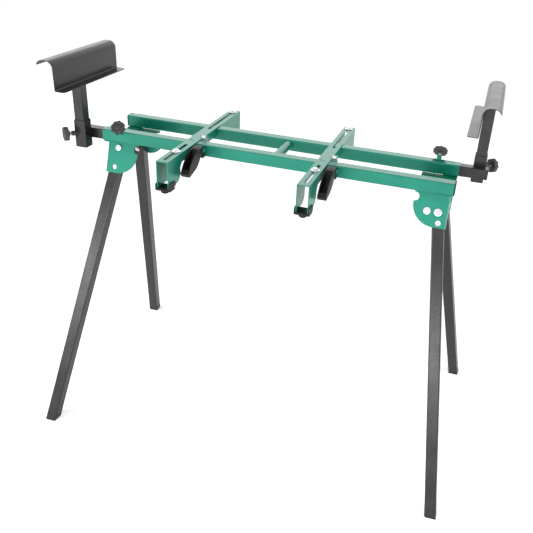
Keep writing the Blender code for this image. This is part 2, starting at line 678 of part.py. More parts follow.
def make_knob(name, place, play):
    """Stud that reaches the corner of the tube inside, and the knob on its end."""
    base = BOSS_LENGTH + STEM_LENGTH
    tip = GAP - play / 2 * math.sqrt(2) - BAR_CORNER * (math.sqrt(2) - 1)
    knob_frame = empty(name + "_knob_frame", place, (0, 0, base))
    body = bmesh.new()
    low = KNOB_HUB_HEIGHT
    high = KNOB_HUB_HEIGHT + KNOB_HEIGHT
    add_turned(body, [(KNOB_RADIUS - KNOB_EDGE, low), (KNOB_RADIUS, low + KNOB_EDGE),
                      (KNOB_RADIUS, high - KNOB_EDGE), (KNOB_RADIUS - KNOB_EDGE, high),
                      (KNOB_RADIUS * 0.62, high), (KNOB_RADIUS * 0.56, high - KNOB_DISH)],
               shape=lobed)
    knob = finish(name + "_knob", body, knob_frame, PLASTIC)
    hub = bmesh.new()
    add_turned(hub, [(KNOB_HUB_RADIUS, 0), (KNOB_HUB_RADIUS, low + OVERRUN)], count=FINE_ROUND)
    combine(knob, name + "_hub", hub, "UNION")
    bore = bmesh.new()
    add_turned(bore, [(STUD_RADIUS + GAP, -OVERRUN), (STUD_RADIUS + GAP, KNOB_BORE_DEPTH)],
               count=FINE_ROUND)
    combine(knob, name + "_bore", bore)
    stud = bmesh.new()
    end = base + KNOB_BORE_DEPTH - GAP
    add_turned(stud, [(STUD_RADIUS * 0.75, tip), (STUD_RADIUS, tip + STUD_RADIUS / 4),
                      (STUD_RADIUS, end)], count=FINE_ROUND)
    finish(name + "_stud", stud, place, ZINC)


def make_arm(tag, half):
    """Bar in the rail, post socket on its side, post and work support."""
    root = HALVES[half]
    arm = empty("arm_frame_" + tag, root, (-RAIL_END, -RAIL_Y, RAIL_Z))
    outer = BAR_OUTER - RAIL_END
    inner = RAIL_END + BAR_INNER
    bar_length = outer + inner
    bar = square_tube(BAR_SIZE, BAR_WALL, BAR_CORNER, bar_length, "x", ((inner - outer) / 2, 0, 0))
    finish("arm_bar_" + tag, bar, arm, BLACK)
    centre = (-POST_X + RAIL_END, -(POST_Y - RAIL_Y), SOCKET_MID - RAIL_Z)
    socket = square_tube(SOCKET_SIZE, SOCKET_WALL, SOCKET_CORNER, SOCKET_HEIGHT, "z", centre)
    socket = finish("arm_socket_" + tag, socket, arm, BLACK)
    corner = (centre[0] - SOCKET_SIZE / 2, centre[1] - SOCKET_SIZE / 2,
              SOCKET_TOP - SOCKET_KNOB_DROP - RAIL_Z)
    place = empty("socket_knob_frame_" + tag, arm, corner, (0, -math.pi / 2, math.pi / 4))
    boss = bmesh.new()
    add_turned(boss, [(BOSS_RADIUS, -BOSS_SEAT), (BOSS_RADIUS, BOSS_LENGTH)])
    combine(socket, "socket_boss_" + tag, boss, "UNION", parent=place)
    clear = bmesh.new()
    hollow = SOCKET_SIZE - 2 * SOCKET_WALL
    add_prism(clear, round_rect(hollow, hollow, SOCKET_CORNER - SOCKET_WALL + GAP),
              SOCKET_HEIGHT + OVERRUN, "z", centre)
    combine(socket, "socket_hollow_" + tag, clear)
    combine(socket, "socket_bore_" + tag, stud_bore(), parent=place)
    make_knob("socket_" + tag, place, SOCKET_SIZE - POST_SIZE)
    make_knob("rail_" + tag, rail_knob_frames[half], RAIL_SIZE - BAR_SIZE)

    post_place = empty("post_frame_" + tag, root, (-POST_X, -POST_Y, SUPPORT_LIFTS[tag]))
    wall_top = SUPPORT_WALL_HEIGHT
    post_top = wall_top - ARCH_ROOM
    post_low = -POST_BELOW
    post = square_tube(POST_SIZE, POST_WALL, BAR_CORNER, post_top - post_low, "z",
                       (0, 0, (post_top + post_low) / 2))
    finish("post_" + tag, post, post_place, BLACK)

    plate_x = POST_SIZE / 2 + GAP + SUPPORT_SHEET / 2
    half_sheet = SUPPORT_SHEET / 2
    outside = []
    inside = []
    bend = SUPPORT_BEND
    lip = math.degrees(ARCH_LIP_ANGLE)
    for offset, line in ((half_sheet, outside), (-half_sheet, inside)):
        line.append((plate_x + SUPPORT_FLANGE, -offset))
        line += arc((plate_x + bend, bend), bend + offset, 270, 180, 4)
        line += [(plate_x - offset, wall_top)]
        line += arc((plate_x - ARCH_RADIUS, wall_top), ARCH_RADIUS - offset, 0, 90, 8)[1:]
        far = plate_x - ARCH_RADIUS - ARCH_FLAT
        line += arc((far, wall_top), ARCH_RADIUS - offset, 90, 90 + lip, 7)
    outline = outside + inside[::-1]
    plate = bmesh.new()
    add_prism(plate, outline, SUPPORT_LENGTH, "y", (0, SUPPORT_OFFSET, 0))
    plate = finish("support_plate_" + tag, plate, post_place, BLACK)
    corners = bmesh.new()
    flange_end = plate_x + SUPPORT_FLANGE
    for end in (-1, 1):
        edge = SUPPORT_OFFSET + end * SUPPORT_LENGTH / 2
        centre_x = flange_end - PLATE_CORNER
        centre_y = edge - end * PLATE_CORNER
        round_part = arc((centre_x, centre_y), PLATE_CORNER, 0, 90 * end, 5)
        outer = [(centre_x, edge + end * OVERRUN), (flange_end + OVERRUN, edge + end * OVERRUN),
                 (flange_end + OVERRUN, centre_y)]
        add_prism(corners, round_part + outer, SUPPORT_SHEET + OVERRUN, "z", (0, 0, 0))
    combine(plate, "plate_corners_" + tag, corners)


def bracket_outline():
    """Side of a saw bracket: a shallow channel with a deep foot at each end."""
    top = TOP_FACE
    edge = top - BRACKET_DEPTH
    low = top - BRACKET_END_DROP
    points = []
    for end, far in ((-1, BRACKET_FRONT), (1, BRACKET_REAR)):
        heel = far - BRACKET_END_WIDTH
        side = [(far, top), (far, low)]
        side += arc((heel + BRACKET_END_CORNER, low + BRACKET_END_CORNER), BRACKET_END_CORNER,
                    270, 180, 6)
        side += arc((heel - BRACKET_END_FILLET, edge - BRACKET_END_FILLET), BRACKET_END_FILLET,
                    0, 90, 6)
        side = [(end * y, z) for y, z in side]
        points += side if end < 0 else side[::-1]
    return points


def make_saw_bracket(tag, centre_x, bolt_places):
    """Bracket across the rails with its pads, clamp and saw bolts."""
    place = empty("bracket_frame_" + tag, None, (centre_x, 0, 0))
    half = BRACKET_WIDTH / 2
    body = bmesh.new()
    add_prism(body, bracket_outline(), BRACKET_WIDTH, "x")
    bracket = finish("saw_bracket_" + tag, body, place, GREEN)
    low = TOP_FACE - BRACKET_END_DROP
    hollow = bmesh.new()
    add_box(hollow, (-half + SHEET, -BRACKET_FRONT - OVERRUN, low - OVERRUN),
            (half - SHEET, BRACKET_REAR + OVERRUN, TOP_FACE - SHEET))
    combine(bracket, "bracket_hollow_" + tag, hollow)
    notches = bmesh.new()
    for side in (-1, 1):
        middle = side * RAIL_Y
        add_box(notches, (-half - OVERRUN, middle - HALF_RAIL - RAIL_PLAY, RAIL_BOTTOM - OVERRUN),
                (half + OVERRUN, middle + HALF_RAIL + RAIL_PLAY, TOP_FACE - SHEET))
    combine(bracket, "bracket_notches_" + tag, notches)
    slots = bmesh.new()
    plate_z = TOP_FACE - SHEET / 2
    through = SHEET + OVERRUN
    for near, far in ((-FRONT_SLOT_FAR, -FRONT_SLOT_NEAR), (REAR_SLOT_NEAR, REAR_SLOT_FAR)):
        outline = round_rect(SLOT_WIDTH, far - near, SLOT_WIDTH / 2 - GAP, 5)
        add_prism(slots, outline, through, "z", (0, (near + far) / 2, plate_z))
    add_prism(slots, rectangle(PLATE_HOLE, PLATE_HOLE), through, "z",
              (PLATE_HOLE_OFFSET, PLATE_HOLE_Y, plate_z))
    add_prism(slots, circle(PLATE_HOLE / 2, FINE_ROUND), through, "z",
              (PLATE_HOLE_OFFSET + PLATE_HOLE_SPACING, PLATE_HOLE_Y, plate_z))
    combine(bracket, "bracket_slots_" + tag, slots)

    bolt_line = bmesh.new()
    spacer_end = half + LEVER_STANDOFF - GAP
    nut_start = half + LEVER_STANDOFF + LEVER_WIDTH + GAP
    add_turned(bolt_line, [(LEVER_BOLT_HEAD * CHAMFER_SHARE, -half - LEVER_BOLT_HEAD / 2),
                           (LEVER_BOLT_HEAD, -half - LEVER_BOLT_HEAD / 3),
                           (LEVER_BOLT_HEAD, -half + SHEET / 2), (LEVER_BOLT_RADIUS, -half + SHEET / 2),
                           (LEVER_BOLT_RADIUS, half - SHEET / 2), (LEVER_BOLT_HEAD, half - SHEET / 2),
                           (LEVER_BOLT_HEAD, spacer_end), (LEVER_BOLT_RADIUS, spacer_end),
                           (LEVER_BOLT_RADIUS, nut_start), (LEVER_BOLT_HEAD, nut_start),
                           (LEVER_BOLT_HEAD, nut_start + LEVER_BOLT_HEAD / 3),
                           (LEVER_BOLT_HEAD * CHAMFER_SHARE, nut_start + LEVER_BOLT_HEAD / 2)],
               "x", (0, LEVER_Y, LEVER_Z), FINE_ROUND)
    combine(bracket, "bracket_bolt_" + tag, bolt_line, "UNION")

    pad_half = half + PAD_OVERHANG
    for name, end, far in (("front", -1, BRACKET_FRONT), ("rear", 1, BRACKET_REAR)):
        front = far + PAD_FRONT
        back = front - PAD_LENGTH
        centre = end * (front + back) / 2
        top = low + PAD_TOP
        bottom = low - PAD_BOTTOM
        base = bottom - BUMPER_HEIGHT
        pad = bmesh.new()
        add_prism(pad, round_rect(PAD_LENGTH, top - bottom, PAD_CORNER), 2 * pad_half, "x",
                  (0, centre, (top + bottom) / 2))
        pad = finish("bracket_pad_" + tag + "_" + name, pad, place, PLASTIC)
        bumper = bmesh.new()
        add_turned(bumper, [(BUMPER_RADIUS - BUMPER_EDGE, base),
                            (BUMPER_RADIUS - BUMPER_EDGE * 0.3, base + BUMPER_EDGE * 0.5),
                            (BUMPER_RADIUS, base + BUMPER_EDGE * 1.2),
                            (BUMPER_RADIUS, bottom + PAD_BOTTOM / 3)], "z",
                   (0, end * (front - BUMPER_SETBACK), 0), FINE_ROUND)
        combine(pad, "pad_bumper_" + tag + "_" + name, bumper, "UNION")
        seat = bmesh.new()
        ends = sorted((end * (back - OVERRUN), end * (front + OVERRUN)))
        add_box(seat, (-half - GAP, ends[0], low - GAP), (half + GAP, ends[1], top + OVERRUN))
        combine(pad, "pad_seat_" + tag + "_" + name, seat)

    make_clamp(tag, place)

    for name, at_y in zip(("front", "rear"), bolt_places):
        make_saw_bolt("saw_bolt_" + tag + "_" + name, place, at_y)


def make_clamp(tag, place):
    """Cam lever at the front of the rail and the strap that it tightens round the rail."""
    half = BRACKET_WIDTH / 2
    pivot = empty("lever_pivot_" + tag, place, (half + LEVER_STANDOFF, LEVER_Y, LEVER_Z))
    top = [(-y * LEVER_LENGTH, z * LEVER_LENGTH) for y, z in LEVER_TOP_SHARES]
    under = [(-y * LEVER_LENGTH, z * LEVER_LENGTH) for y, z in LEVER_LOW_SHARES]
    tail = -LEVER_TAIL
    back = LEVER_PIVOT_OUT - STRAP_PLAY - STRAP_SHEET - 2 * GAP
    hub = arc((0, 0), min(LEVER_HUB_RADIUS, back), 0, 90, 6)
    outline = [(back, tail), (back, 0)] + hub[1:-1] + flow(top) + flow(under)
    outline += [(back - LEVER_TAIL_WIDTH, tail + LEVER_TAIL_WIDTH), (back - LEVER_TAIL_WIDTH, tail)]
    body = bmesh.new()
    add_prism(body, outline, LEVER_WIDTH, "x", (LEVER_WIDTH / 2, 0, 0))
    lever = finish("clamp_lever_" + tag, body, pivot, PLASTIC)
    upper = [(y, z + OVERRUN) for y, z in flow(top)
             if LEVER_CAVITY_SHARE * LEVER_LENGTH < -y < LEVER_LENGTH - LEVER_WALL * 2]
    lower = [(y, z + LEVER_WALL * 1.3) for y, z in flow(under)
             if LEVER_CAVITY_SHARE * LEVER_LENGTH + LEVER_WALL < -y < LEVER_LENGTH - LEVER_WALL * 4]
    cavity = bmesh.new()
    add_prism(cavity, upper + lower, LEVER_WIDTH - 2 * LEVER_WALL, "x", (LEVER_WIDTH / 2, 0, 0))
    combine(lever, "lever_cavity_" + tag, cavity)
    bore = bmesh.new()
    add_prism(bore, circle(LEVER_BOLT_RADIUS + GAP, FINE_ROUND), LEVER_WIDTH + OVERRUN, "x",
              (LEVER_WIDTH / 2, 0, 0))
    combine(lever, "lever_bore_" + tag, bore)

    front = -(RAIL_Y + HALF_RAIL + STRAP_PLAY)
    rear = -(RAIL_Y - HALF_RAIL - STRAP_PLAY)
    base = RAIL_BOTTOM - STRAP_PLAY
    sheet = STRAP_SHEET
    front_top = RAIL_TOP - STRAP_FRONT_DROP
    ear_top = RAIL_TOP + STRAP_EAR
    corner = RAIL_CORNER - STRAP_PLAY
    outline = [(front, front_top), (front - sheet, front_top)]
    outline += arc((front + corner, base + corner), corner + sheet, 180, 270, 4)
    outline += arc((rear - corner, base + corner), corner + sheet, 270, 360, 4)
    outline += [(rear + sheet, ear_top), (rear, ear_top)]
    outline += arc((rear - corner, base + corner), corner, 360, 270, 4)
    outline += arc((front + corner, base + corner), corner, 270, 180, 4)
    strap = bmesh.new()
    add_prism(strap, outline, STRAP_WIDTH, "x", (half + GAP + STRAP_WIDTH / 2, 0, 0))
    strap = finish("clamp_strap_" + tag, strap, place, ZINC)
    screw = bmesh.new()
    bolt(screw, STRAP_BOLT_RADIUS, sheet + NUT_HEIGHT, STRAP_BOLT_HEAD, STRAP_BOLT_HEAD_HEIGHT, "y",
         (half + GAP + STRAP_WIDTH / 2, rear + sheet / 3, RAIL_TOP + STRAP_BOLT_RISE), 1)
    combine(strap, "strap_bolt_" + tag, screw, "UNION")
    ring = bmesh.new()
    add_prism(ring, circle(STRAP_BOLT_HEAD, 6), NUT_HEIGHT / 2, "y",
              (half + GAP + STRAP_WIDTH / 2, rear + sheet * CHAMFER_SHARE + NUT_HEIGHT / 4,
               RAIL_TOP + STRAP_BOLT_RISE))
    combine(strap, "strap_nut_" + tag, ring, "UNION")


def make_saw_bolt(name, place, at_y):
    """Bolt in a bracket's slot: head and wide washer above, washer and nut below."""
    origin = (0, at_y, TOP_FACE)
    made = bmesh.new()
    washer_top = GAP + WASHER_THICKNESS
    head_top = washer_top + SAW_BOLT_HEAD_HEIGHT
    low = -SHEET - GAP
    add_turned(made, [(SAW_BOLT_RADIUS, low - SAW_BOLT_LENGTH), (SAW_BOLT_RADIUS, low - WASHER_THICKNESS),
                      (UNDER_WASHER_RADIUS, low - WASHER_THICKNESS), (UNDER_WASHER_RADIUS, low),
                      (SAW_BOLT_RADIUS, low), (SAW_BOLT_RADIUS, GAP), (SAW_WASHER_RADIUS, GAP),
                      (SAW_WASHER_RADIUS, washer_top), (SAW_BOLT_HEAD, washer_top),
                      (SAW_BOLT_HEAD, washer_top + SAW_BOLT_HEAD_HEIGHT * 0.5),
                      (SAW_BOLT_HEAD * CHAMFER_SHARE, washer_top + SAW_BOLT_HEAD_HEIGHT * 0.8),
                      (SAW_BOLT_HEAD * CHAMFER_SHARE / 2, head_top)])
    made = finish(name, made, place, ZINC, location=origin)
    ring = bmesh.new()
    add_prism(ring, circle(SAW_NUT_RADIUS, 6), SAW_NUT_HEIGHT, "z",
              (0, 0, low - WASHER_THICKNESS - SAW_NUT_HEIGHT / 2))
    combine(made, name + "_nut", ring, "UNION")


rail_knob_frames = {}
for half_name, half_root in HALVES.items():
    rail_knob_frames[half_name] = empty(
        "rail_knob_frame_" + half_name, half_root,
        (-(RAIL_END - LOCK_SETBACK), -(RAIL_Y + HALF_RAIL), RAIL_TOP), (math.radians(45), 0, 0))

for half_name in HALVES:
    make_rail(half_name)
    make_boss(half_name)
    make_cap(half_name)
make_cross_members()
LEGS = (("fl", "front", -1, True), ("fr", "front", 1, False),
        ("rr", "rear", -1, True), ("rl", "rear", 1, False))
for leg_tag, leg_half, leg_side, folds_first in LEGS:
    make_leg(leg_tag, leg_half, leg_side, folds_first)
make_arm("left", "front")
make_arm("right", "rear")
for bracket_tag, bracket_x, places in zip(("left", "right"), BRACKET_X, SAW_BOLT_Y):
    make_saw_bracket(bracket_tag, bracket_x, places)
bpy.context.view_layer.update()
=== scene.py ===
"""Looks of the folding mitre saw stand: paint, plastic, rubber and zinc, small fasteners, weld
beads, a pale studio floor, soft light and the camera. Lengths are in metres."""

import json
import math

import bmesh
import bpy
from mathutils import Matrix, Vector


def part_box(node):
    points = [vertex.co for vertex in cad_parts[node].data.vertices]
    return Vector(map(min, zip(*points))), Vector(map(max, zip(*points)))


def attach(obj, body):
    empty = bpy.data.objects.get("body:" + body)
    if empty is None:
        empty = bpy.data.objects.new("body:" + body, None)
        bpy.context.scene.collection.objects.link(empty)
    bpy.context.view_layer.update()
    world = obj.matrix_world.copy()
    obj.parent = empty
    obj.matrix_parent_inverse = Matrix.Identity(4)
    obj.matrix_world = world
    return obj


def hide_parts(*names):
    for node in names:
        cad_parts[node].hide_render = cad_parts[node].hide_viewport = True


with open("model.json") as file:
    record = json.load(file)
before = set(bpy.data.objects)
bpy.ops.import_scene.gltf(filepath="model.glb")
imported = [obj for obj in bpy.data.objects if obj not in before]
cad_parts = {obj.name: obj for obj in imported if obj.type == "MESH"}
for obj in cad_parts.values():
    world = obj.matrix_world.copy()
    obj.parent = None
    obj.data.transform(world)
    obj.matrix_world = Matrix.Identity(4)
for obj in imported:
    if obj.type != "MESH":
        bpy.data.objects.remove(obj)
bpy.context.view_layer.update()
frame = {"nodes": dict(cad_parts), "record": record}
cad_nodes = frame["nodes"]

SIDES = ("left", "right")
ENDS = ("front", "rear")

# Camera, from a fit to the photograph
FOCAL_PIXELS = 690.69
PICTURE_SIDE = 533
SENSOR_MM = 36
CENTRE_PIXEL = (309.33, 271.17)
CAMERA_PLACE = (0.5462, -1.7778, 1.5038)
CAMERA_YAW = math.radians(13.694)
CAMERA_PITCH = math.radians(28.845)
CAMERA_ROLL = math.radians(-4.187)

# Floor: its colour's level to the camera, in reflections, and for the light that it sends back
FLOOR_SIDE = 6.5
FLOOR_WHITE = 3.3
FLOOR_GLOSS = 2.3
FLOOR_BOUNCE = 0.9

# World: strengths of its walls and ceiling as light, and of its white to camera and reflections
WALL_FILL = 0.60
CEILING_FILL = 0.15
WALL_RISE = (0.05, 0.35)    # sines of the heights where the walls fade into the ceiling
WORLD_WHITE = 1.0

# Lamps, with their power in watts
LAMP_TARGET = (0, 0, 0.7)
SOFT_BOXES = {
    "back_box": {"place": (-1.8, 6.0, 3.3), "size": (9.0, 3.2), "power": 62.0},
    "front_box": {"place": (-1.2, -5.0, 0.90), "size": (9.0, 0.6), "power": 130.0},
    "key_box": {"place": (-3.6, -2.4, 4.6), "size": (2.2, 2.2), "power": 50.0},
    "side_box": {"place": (4.5, -1.2, 1.5), "size": (2.4, 2.0), "power": 60.0},
}

# Dark and light shade of each material, as red, green, blue and alpha
WHITE = (1, 1, 1, 1)
GREEN_SHADES = ((0.002, 0.285, 0.192, 1), (0.005, 0.345, 0.232, 1))
GREEN_SPARKLE = (0.020, 0.450, 0.320, 1)
BLACK_SHADES = ((0.012, 0.012, 0.013, 1), (0.019, 0.019, 0.020, 1))
RUBBER_SHADES = ((0.024, 0.024, 0.025, 1), (0.052, 0.052, 0.052, 1))
ZINC_SHADES = ((0.66, 0.67, 0.70, 1), (0.82, 0.83, 0.84, 1))
PLASTIC_DARK_SHARES = (1.0, 1.0, 1.08)      # of the plastic's level
PLASTIC_LIGHT_SHARES = (1.8, 1.8, 1.88)

# Ranges of values that a ramp spreads out
UNIT_RANGE = (0.0, 1.0)
NOISE_RANGE = (0.35, 0.65)
FLAKE_RANGE = (0.52, 0.75)

FLAKE_STRENGTH = 0.45               # share of the sparkle's colour at the peak of a flake
ZINC_STRETCH = (1.0, 1.0, 0.15)     # draws the zinc's noise out into streaks along Z

# Sockets of a colour mix, whose names aren't unique
MIX_FACTOR, MIX_A, MIX_B, MIX_RESULT = 0, 6, 7, 2

# Rounding of the solids' own edges
EDGE_WIDTH = {"green": 0.0006, "black": 0.0008, "plastic": 0.0008, "zinc": 0.0003,
              "rubber": 0.0012}
EDGE_SEGMENTS = 2
EDGE_ANGLE = math.radians(40)

# Counts of sides and steps of the small pieces, and the angles from which their edges are sharp
KNOB_SIDES = 128
HEAD_SIDES = 48
ROUND_SIDES = 36
THREAD_SIDES = 24
BEAD_SIDES = 10
HEX_SIDES = 6
ROUNDING_STEPS = 4
KNOB_SHARP = math.radians(50)
THREAD_SHARP = math.radians(35)
HEX_SHARP = math.radians(30)
HEAD_SHARP = math.radians(28)
BEAD_SHARP = math.radians(80)

# The tables named FACE, FOOT, TOP and RING give shares of a radius and heights from a level

# Knobs and their studs
KNOB_RADIUS = 0.0200
KNOB_ROUNDING = 0.0024
KNOB_FACE = ((0.72, 0.0), (0.685, -0.0005), (0.65, -0.0014), (0.60, -0.0019), (0.45, -0.0019),
             (0.43, -0.0016), (0.41, -0.0008), (0.38, -0.0005), (0.10, -0.0003))
KNOB_LOBES = 8
KNOB_LOBE_DEPTH = 0.0026
KNOB_LOBE_FADE = 4          # power of the radius
KNOB_LOBE_WIDTH = 1.5       # power of the wave, for lobes wider than the hollows
HUB_RADIUS = 0.0085
HUB_HEIGHT = 0.0035
HUB_FOOT = ((0.9, 0.0), (1.0, KNOB_ROUNDING / 3))
STUD_RADIUS = 0.004
STUD_TIP_SHARE = 0.7
STUD_TIP_HEIGHT = STUD_RADIUS / 4
STUD_THREAD_START = STUD_RADIUS / 3
THREAD_PITCH = 0.00125
THREAD_DEPTH = 0.0005

# Saw bolts
SAW_BOLT_RADIUS = 0.004
SAW_HEAD_RADIUS = 0.0080
SAW_HEAD_HEIGHT = 0.0045
SAW_HEAD_FACE = ((1.0, -0.0010), (0.90, 0.0), (0.55, 0.0), (0.52, -0.0003))
SAW_NUT_RADIUS = 0.0075
SAW_NUT_HEIGHT = 0.0065
SAW_NUT_RISE = 0.0099       # of the nut's foot, from the shank's end
SAW_NUT_FOOT = ((0.9, 0.0), (1.0, 0.0008))
SAW_NUT_TOP = ((1.0, -0.0006), (0.93, 0.0))
WASHER_RADIUS = 0.0120
WASHER_THICKNESS = 0.0016
WASHER_ROUNDING_SHARE = 0.3
NUT_WASHER_SHARE = 0.72     # of the upper washer's radius

# Low heads, discs and the rivet
HEAD_ROUNDING_SHARE = 0.35
HEAD_RING = ((0.50, 0.0), (0.47, -0.0003), (0.42, -0.0003), (0.39, 0.0))
LEG_HEAD_RADIUS = {"fl": 0.0092, "rr": 0.0092, "fr": 0.0108, "rl": 0.0108}
LEG_HEAD_HEIGHT = 0.0035
LEG_HEAD_LIFT = 0.0001      # of its foot, over the foot of the solid's head
LEG_HEAD_CROWN = 0.0006     # added to the height of the solid's head
LOW_LEGS = ("fr", "rl")     # they fold under the other leg of their pair
COLLAR_REACH = 0.029        # inwards from the leg's pivot
COLLAR_DISC_RADIUS = 0.0098
COLLAR_DISC_HEIGHT = 0.0016
PAD_BOLT_SETBACK = 0.033    # from the pad's outer end
PAD_BOLT_DROP = 0.0148      # from the pad's top
PAD_BOLT_RADIUS = 0.0040
PAD_BOLT_HEIGHT = 0.0016
RIVET_OFFSET = 0.0015       # from the line of the saw bolts
RIVET_Y = -0.073
RIVET_SINK = 0.0004
RIVET_RADIUS = 0.0029
RIVET_HEIGHT = 0.0010

# Weld beads
SOCKET_SIZE = 0.034
BAR_TAIL = 0.009            # of the bar, beyond its socket
BEAD_STEP = 0.0008
BEAD_LEAST_STEPS = 4
BEAD_RIPPLE_PITCH = 0.0034
BEAD_RIPPLE_SHARE = 0.16    # of the bead's radius
BEAD_END_SHARE = 0.35       # of the bead's radius
BEAD_END_SLOPE = 0.5        # shares of the radius gained in one radius of length
BEAD_END_GAP = 0.003        # from the end of the joint that it fills
SOCKET_BEAD_RADIUS = 0.0016
SOCKET_BEAD_SINK = 0.0005
PLATE_BEAD_RADIUS = 0.0015
PLATE_BEAD_RISE = 0.009


# Shader nodes

def feed(tree, value, socket):
    """Sets an input to a plain value, or links it to another node's output."""
    if isinstance(value, bpy.types.NodeSocket):
        tree.links.new(value, socket)
    else:
        socket.default_value = value


def set_inputs(tree, node, values):
    """Feeds a node's inputs by their names."""
    for name, value in values.items():
        feed(tree, value, node.inputs[name])


def add_node(tree, kind, values):
    """New node with its inputs fed."""
    made = tree.nodes.new(kind)
    set_inputs(tree, made, values)
    return made


def noise(tree, scale, detail=3.0, roughness=0.5, stretch=None):
    """Noise in the object's own metres."""
    place = tree.nodes.new("ShaderNodeTexCoord").outputs["Object"]
    if stretch:
        mapping = add_node(tree, "ShaderNodeMapping", {"Vector": place, "Scale": stretch})
        place = mapping.outputs["Vector"]
    texture = add_node(tree, "ShaderNodeTexNoise", {
        "Vector": place, "Scale": scale, "Detail": detail, "Roughness": roughness})
    return texture.outputs["Fac"]


def ramp(tree, source, low=0.0, high=1.0, spread=NOISE_RANGE):
    """Maps a range of values to the range from low to high."""
    made = add_node(tree, "ShaderNodeMapRange", {
        "Value": source, "From Min": spread[0], "From Max": spread[1],
        "To Min": low, "To Max": high})
    return made.outputs["Result"]


def tint(tree, source, dark, light):
    """Mixes two colours by a value."""
    made = tree.nodes.new("ShaderNodeMix")
    made.data_type = "RGBA"
    for socket, value in ((MIX_FACTOR, source), (MIX_A, dark), (MIX_B, light)):
        feed(tree, value, made.inputs[socket])
    return made.outputs[MIX_RESULT]


def bump(tree, source, strength, distance):
    """Normal of a surface that a value raises."""
    made = add_node(tree, "ShaderNodeBump", {
        "Height": source, "Strength": strength, "Distance": distance})
    return made.outputs["Normal"]


def level_by_ray(tree, diffuse, mirrored, seen):
    """One level for diffuse rays, one for reflected and transmitted rays, one for the camera."""
    path = tree.nodes.new("ShaderNodeLightPath")
    level = diffuse
    for ray, ray_level in (("Is Glossy Ray", mirrored), ("Is Transmission Ray", mirrored),
                           ("Is Camera Ray", seen)):
        level = ramp(tree, path.outputs[ray], level, ray_level, UNIT_RANGE)
    return level


# Materials

def base_material(name):
    """New material with its tree and shader."""
    made = bpy.data.materials.new(name)
    made.use_nodes = True
    tree = made.node_tree
    return made, tree, tree.nodes["Principled BSDF"]


def green_paint():
    """Metallic green powder coat with a fine sparkle, under a soft clear coat."""
    made, tree, shader = base_material("green_metallic_coat")
    cloud = noise(tree, scale=9.0, detail=2.0)
    flake = noise(tree, scale=2600.0, detail=1.0)
    orange_peel = noise(tree, scale=420.0, detail=2.0)
    colour = tint(tree, ramp(tree, cloud), *GREEN_SHADES)
    sparkle = ramp(tree, flake, high=FLAKE_STRENGTH, spread=FLAKE_RANGE)
    set_inputs(tree, shader, {
        "Base Color": tint(tree, sparkle, colour, GREEN_SPARKLE),
        "Metallic": 0.30,
        "Roughness": ramp(tree, cloud, low=0.36, high=0.44),
        "Specular IOR Level": 0.15,
        "Coat Weight": 1.0,
        "Coat Roughness": 0.32,
        "Coat IOR": 1.42,
        "Normal": bump(tree, orange_peel, strength=0.10, distance=0.0004)})
    return made


def black_paint():
    """Satin black powder coat with a fine grain."""
    made, tree, shader = base_material("black_satin_coat")
    cloud = noise(tree, scale=14.0)
    grain = noise(tree, scale=900.0, roughness=0.6)
    set_inputs(tree, shader, {
        "Base Color": tint(tree, ramp(tree, cloud), *BLACK_SHADES),
        "Roughness": ramp(tree, cloud, low=0.22, high=0.30),
        "Specular IOR Level": 0.58,
        "Normal": bump(tree, grain, strength=0.15, distance=0.0003)})
    return made


def black_plastic(name, level, specular):
    """Moulded plastic with a spark-eroded grain. The level is the grey of its dark shade."""
    made, tree, shader = base_material(name)
    cloud = noise(tree, scale=25.0, detail=2.0)
    grain = noise(tree, scale=1500.0, detail=4.0, roughness=0.65)
    dark, light = ((*(level * share for share in shares), 1)
                   for shares in (PLASTIC_DARK_SHARES, PLASTIC_LIGHT_SHARES))
    set_inputs(tree, shader, {
        "Base Color": tint(tree, ramp(tree, cloud), dark, light),
        "Roughness": ramp(tree, grain, low=0.40, high=0.55),
        "Specular IOR Level": specular,
        "Normal": bump(tree, grain, strength=0.35, distance=0.0003)})
    return made


def rubber():
    """Dull rubber with a little dust."""
    made, tree, shader = base_material("foot_rubber")
    dust = noise(tree, scale=60.0, detail=4.0, roughness=0.6)
    grain = noise(tree, scale=1100.0)
    set_inputs(tree, shader, {
        "Base Color": tint(tree, ramp(tree, dust), *RUBBER_SHADES),
        "Roughness": ramp(tree, dust, low=0.62, high=0.80),
        "Normal": bump(tree, grain, strength=0.30, distance=0.0003)})
    return made


def zinc():
    """Bright zinc plating, slightly uneven."""
    made, tree, shader = base_material("zinc_plate")
    cloud = noise(tree, scale=120.0)
    streaks = noise(tree, scale=900.0, stretch=ZINC_STRETCH)
    set_inputs(tree, shader, {
        "Base Color": tint(tree, ramp(tree, cloud), *ZINC_SHADES),
        "Metallic": 1.0,
        "Roughness": ramp(tree, streaks, low=0.18, high=0.32),
        "Normal": bump(tree, streaks, strength=0.12, distance=0.0002)})
    return made


SURFACES = {"green": green_paint(), "black": black_paint(), "rubber": rubber(), "zinc": zinc(),
            "plastic": black_plastic("moulded_black_plastic", level=0.009, specular=0.35),
            "knob": black_plastic("moulded_knob_plastic", level=0.045, specular=0.50)}


def kind_of(name):
    """The surface of a carried-over node, by its name."""
    if name.startswith(("rail_front", "rail_rear", "rail_boss", "cross_", "leg_channel",
                        "saw_bracket")):
        return "green"
    if name.startswith(("leg_bolt", "saw_bolt", "lock_button", "clamp_strap")) or "stud" in name:
        return "zinc"
    if name.startswith("foot_"):
        return "rubber"
    if name.startswith(("leg_", "arm_bar", "arm_socket", "post_", "support_plate")):
        return "black"
    return "plastic"


